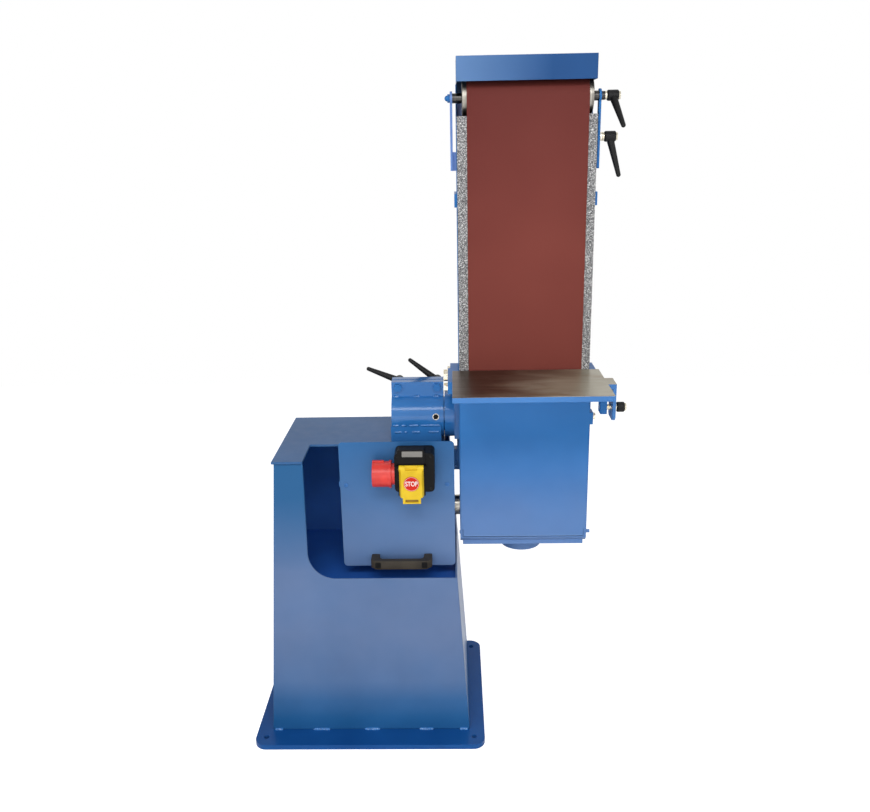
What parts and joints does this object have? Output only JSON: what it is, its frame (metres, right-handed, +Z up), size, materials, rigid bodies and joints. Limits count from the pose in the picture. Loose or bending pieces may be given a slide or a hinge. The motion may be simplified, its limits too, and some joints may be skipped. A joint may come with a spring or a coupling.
{
  "type": "pedestal belt sander",
  "caption": "Upright wide belt sander on a tapered pedestal, its sanding arm swinging back in a split clamp tube, with a tilting work table and a hinged drum cover.",
  "frame": {"origin": "centre of the floor plate's underside", "axes": "+X to the right of a person who faces the belt, +Y to the back, +Z up"},
  "size_m": [0.8427, 0.48, 1.514],
  "materials": {
    "blue_paint": "gloss blue enamel",
    "motor_iron": "blue painted casting",
    "bright_steel": "turned steel",
    "table_steel": "ground, lightly stained",
    "yellow_zinc": "yellow zinc plating",
    "black_lever": "black powder coat",
    "black_plastic": "satin moulding",
    "red_plastic": "moulded red",
    "green_plastic": "moulded green",
    "yellow_plastic": "moulded yellow",
    "contact_brass": "turned pins",
    "graphite_cloth": "speckled graphite cloth",
    "abrasive": "aluminium oxide grit on cloth",
    "lagging_rubber": "smooth lagging"
  },
  "bodies": {
    "pedestal": {"base_plate": "blue_paint", "pedestal_front": "blue_paint", "pedestal_left_wall": "blue_paint", "pedestal_right_wall": "blue_paint", "pedestal_back_wall": "blue_paint", "pedestal_top": "blue_paint", "motor_bay_floor": "blue_paint", "swivel_saddle": "blue_paint", "swivel_clamp_tube": "blue_paint", "clamp_bolts": "blue_paint", "tube_set_screw": "bright_steel"},
    "swing_unit": {"swivel_spindle": "blue_paint", "side_plate_left": "blue_paint", "side_plate_right": "blue_paint", "housing_pan": "blue_paint", "dust_spigot": "blue_paint", "platen": "bright_steel", "platen_pad": "graphite_cloth", "rear_guard": "blue_paint", "hood": "blue_paint", "motor_carrier": "blue_paint", "motor_housing": "motor_iron", "motor_end_shields": "motor_iron", "motor_fan_cowl": "blue_paint", "terminal_box": "blue_paint", "drum_stub_axle": "bright_steel", "table_rest_bar": "blue_paint", "table_pivot_bar": "blue_paint", "arm_bolts": "yellow_zinc", "switch_panel": "blue_paint", "panel_handle": "black_plastic", "switch_box": "black_plastic", "inlet_shroud": "red_plastic", "inlet_pins": "contact_brass", "cover_hinge_pin": "bright_steel", "sanding_belt": "abrasive"},
    "left_clamp_lever": {"clamp_lever_left": "black_lever"},
    "right_clamp_lever": {"clamp_lever_right": "black_lever"},
    "drum": {"drum_shell": "bright_steel", "drum_lagging": "lagging_rubber", "motor_shaft": "bright_steel", "motor_fan": "black_plastic", "drum_bearing": "bright_steel"},
    "tension_fork": {"roller_bracket_left": "blue_paint", "roller_bracket_right": "blue_paint", "roller_shaft": "bright_steel", "roller_nut": "blue_paint"},
    "top_roller": {"idler_roller": "bright_steel", "roller_bearings": "bright_steel"},
    "roller_clamp_lever": {"roller_lever": "black_lever"},
    "tension_clamp_lever": {"tension_lever": "black_lever"},
    "table_clamp_lever": {"table_lever": "black_lever"},
    "table": {"table_plate": "table_steel"},
    "cover": {"front_cover": "blue_paint"},
    "cover_latch": {"latch_screw": "yellow_zinc"},
    "flap": {"switch_flap": "yellow_plastic", "stop_disc": "red_plastic"},
    "start": {"start_button": "green_plastic"},
    "stop": {"stop_button": "red_plastic"}
  },
  "joints": [
    {"name": "arm_swing", "type": "hinge", "parent": "pedestal", "child": "swing_unit", "pos_m": [0.123, 0.03, 0.74], "axis": [-1, 0, 0], "range_deg": [0, 90]},
    {"name": "left_clamp_turn", "type": "hinge", "parent": "pedestal", "child": "left_clamp_lever", "pos_m": [0.078, 0.0525, 0.81], "axis": [0, 1, 0], "range_deg": [0, 60]},
    {"name": "right_clamp_turn", "type": "hinge", "parent": "pedestal", "child": "right_clamp_lever", "pos_m": [0.168, 0.0525, 0.81], "axis": [0, 1, 0], "range_deg": [0, 50]},
    {"name": "drum_spin", "type": "hinge", "parent": "swing_unit", "child": "drum", "pos_m": [0.3655, 0.0108, 0.516], "axis": [1, 0, 0], "continuous": true},
    {"name": "belt_tension", "type": "slide", "parent": "swing_unit", "child": "tension_fork", "axis": [0, 0, 1], "range_m": [-0.015, 0]},
    {"name": "roller_spin", "type": "hinge", "parent": "tension_fork", "child": "top_roller", "pos_m": [0.3655, -0.0082, 1.436], "axis": [1, 0, 0], "continuous": true},
    {"name": "roller_lever_turn", "type": "hinge", "parent": "tension_fork", "child": "roller_clamp_lever", "pos_m": [0.5258, -0.0082, 1.436], "axis": [1, 0, 0], "range_deg": [-50, 15]},
    {"name": "tension_lever_turn", "type": "hinge", "parent": "swing_unit", "child": "tension_clamp_lever", "pos_m": [0.5231, -0.0082, 1.355], "axis": [1, 0, 0], "range_deg": [-45, 45]},
    {"name": "table_lever_turn", "type": "hinge", "parent": "swing_unit", "child": "table_clamp_lever", "pos_m": [0.5463, -0.149, 0.806], "axis": [1, 0, 0], "range_deg": [-45, 45]},
    {"name": "table_tilt", "type": "hinge", "parent": "swing_unit", "child": "table", "pos_m": [0.5425, -0.149, 0.806], "axis": [1, 0, 0], "range_deg": [0, 45]},
    {"name": "cover_open", "type": "hinge", "parent": "swing_unit", "child": "cover", "pos_m": [0.364, -0.062, 0.478], "axis": [1, 0, 0], "range_deg": [0, 95]},
    {"name": "latch_turn", "type": "hinge", "parent": "swing_unit", "child": "cover_latch", "pos_m": [0.516, -0.05, 0.755], "axis": [1, 0, 0], "continuous": true},
    {"name": "flap_lift", "type": "hinge", "parent": "swing_unit", "child": "flap", "pos_m": [0.1115, -0.1373, 0.667], "axis": [-1, 0, 0], "range_deg": [0, 100]},
    {"name": "start_press", "type": "slide", "parent": "swing_unit", "child": "start", "axis": [0, 1, 0], "range_m": [0, 0.004], "stiffness_N_per_m": 500},
    {"name": "stop_press", "type": "slide", "parent": "swing_unit", "child": "stop", "axis": [0, 1, 0], "range_m": [0, 0.004], "stiffness_N_per_m": 500}
  ],
  "couplings": [
    {"joint": "roller_spin", "follows": "drum_spin", "ratio": 1.5429}
  ]
}
